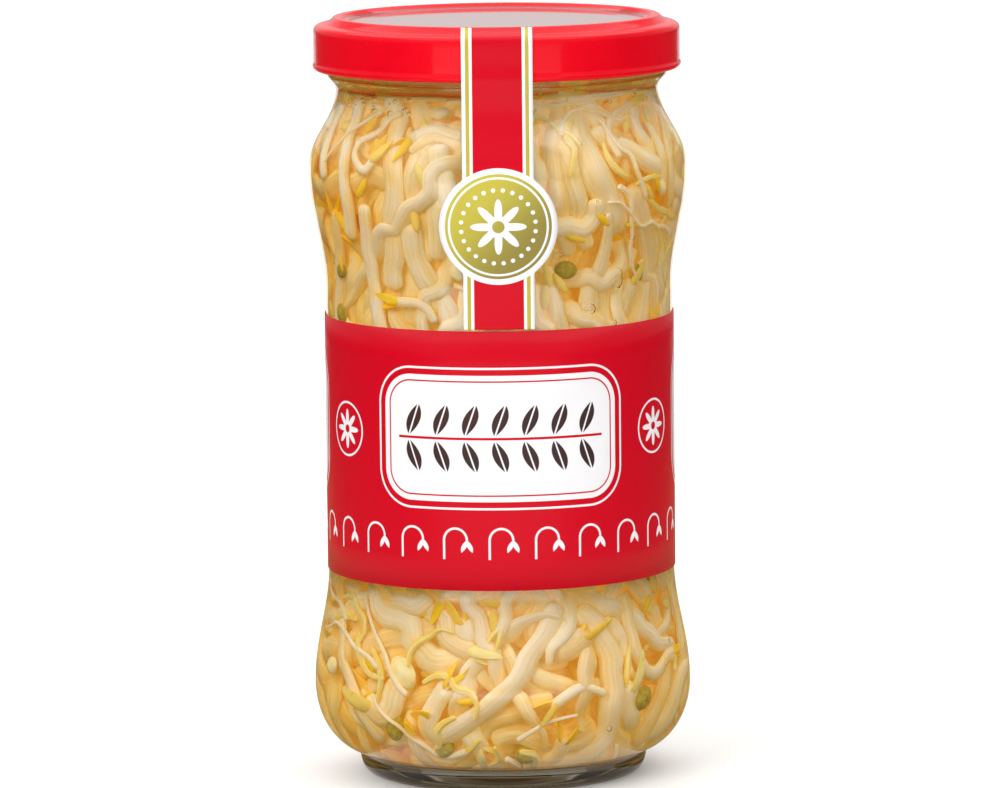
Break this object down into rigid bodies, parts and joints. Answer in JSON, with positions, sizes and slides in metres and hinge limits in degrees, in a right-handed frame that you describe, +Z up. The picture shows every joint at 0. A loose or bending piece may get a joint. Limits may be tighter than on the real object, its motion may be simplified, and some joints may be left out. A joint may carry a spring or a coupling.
{
  "type": "jar of bean sprouts",
  "caption": "Waisted glass jar with a twist-off lid, paper label and seal strip, packed with bean sprouts in brine.",
  "frame": {"origin": "centre of the jar's base, on the surface it stands on", "axes": "+Z up along the jar's axis, -Y towards the side with the seal strip, +X to the right seen from that side"},
  "size_m": [0.0714, 0.072, 0.144],
  "materials": {
    "jar_glass": "clear, glossy",
    "lid_lacquer": "glossy red lacquer on tinplate",
    "gasket_compound": "matte sealing compound",
    "brine": "clear pale golden liquid",
    "sprout_flesh": "moist, slightly translucent vegetable flesh",
    "label_paper": "coated red paper",
    "strip_paper": "coated paper, red with pale and gold stripes"
  },
  "bodies": {
    "root": {"glass_jar": "jar_glass", "lid": "lid_lacquer", "lid_gasket": "gasket_compound", "brine": "brine", "sprouts": "sprout_flesh", "label": "label_paper", "seal_strip": "strip_paper"}
  },
  "joints": []
}
